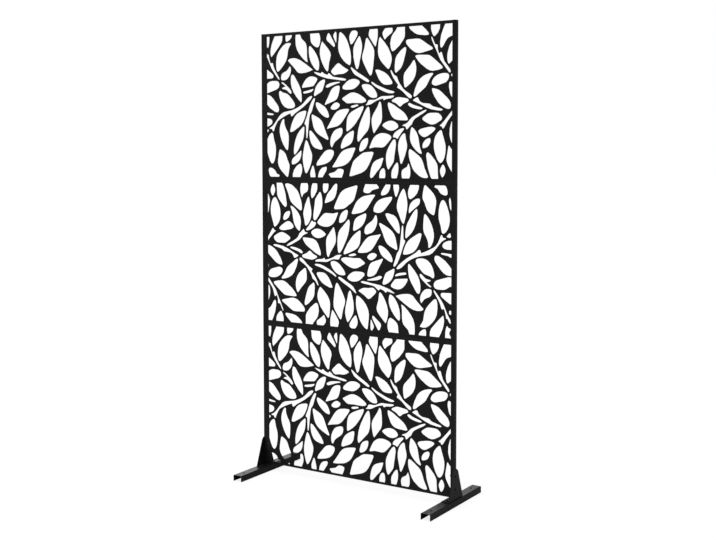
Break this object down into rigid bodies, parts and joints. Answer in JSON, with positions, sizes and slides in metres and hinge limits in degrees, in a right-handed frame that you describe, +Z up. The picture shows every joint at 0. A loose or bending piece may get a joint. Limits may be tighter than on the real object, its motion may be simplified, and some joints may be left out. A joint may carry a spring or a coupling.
{
  "type": "privacy screen",
  "caption": "Free-standing metal privacy screen: leaf-cut sheet panels stacked between slim square uprights on low channel feet with gusset brackets.",
  "frame": {"origin": "centre of the base on the floor: midway between the feet and midway along them", "axes": "+X to the right seen from the front, +Y to the back, +Z up; the cut sheets face -Y"},
  "size_m": [0.922, 0.41, 1.83],
  "materials": {
    "black_powder_coat": "satin black powder coat",
    "zinc_plate": "bright zinc plate",
    "black_steel": "black coated steel",
    "black_plastic": "moulded black plastic"
  },
  "bodies": {
    "root": {"top_panel": "black_powder_coat", "middle_panel": "black_powder_coat", "bottom_panel": "black_powder_coat", "top_left_upright": "black_powder_coat", "top_right_upright": "black_powder_coat", "middle_left_upright": "black_powder_coat", "middle_right_upright": "black_powder_coat", "bottom_left_upright": "black_powder_coat", "bottom_right_upright": "black_powder_coat", "upper_left_sleeve": "zinc_plate", "upper_right_sleeve": "zinc_plate", "lower_left_sleeve": "zinc_plate", "lower_right_sleeve": "zinc_plate", "sleeve_screws": "black_steel", "joint_bolts": "black_steel", "joint_washers": "zinc_plate", "joint_nuts": "zinc_plate", "left_top_cap": "black_plastic", "right_top_cap": "black_plastic", "left_bracket": "black_powder_coat", "right_bracket": "black_powder_coat", "upright_bolts": "black_steel", "upright_washers": "zinc_plate", "upright_nuts": "zinc_plate", "left_foot": "black_powder_coat", "right_foot": "black_powder_coat", "foot_bolts": "black_steel", "foot_washers": "zinc_plate", "foot_nuts": "zinc_plate"}
  },
  "joints": []
}
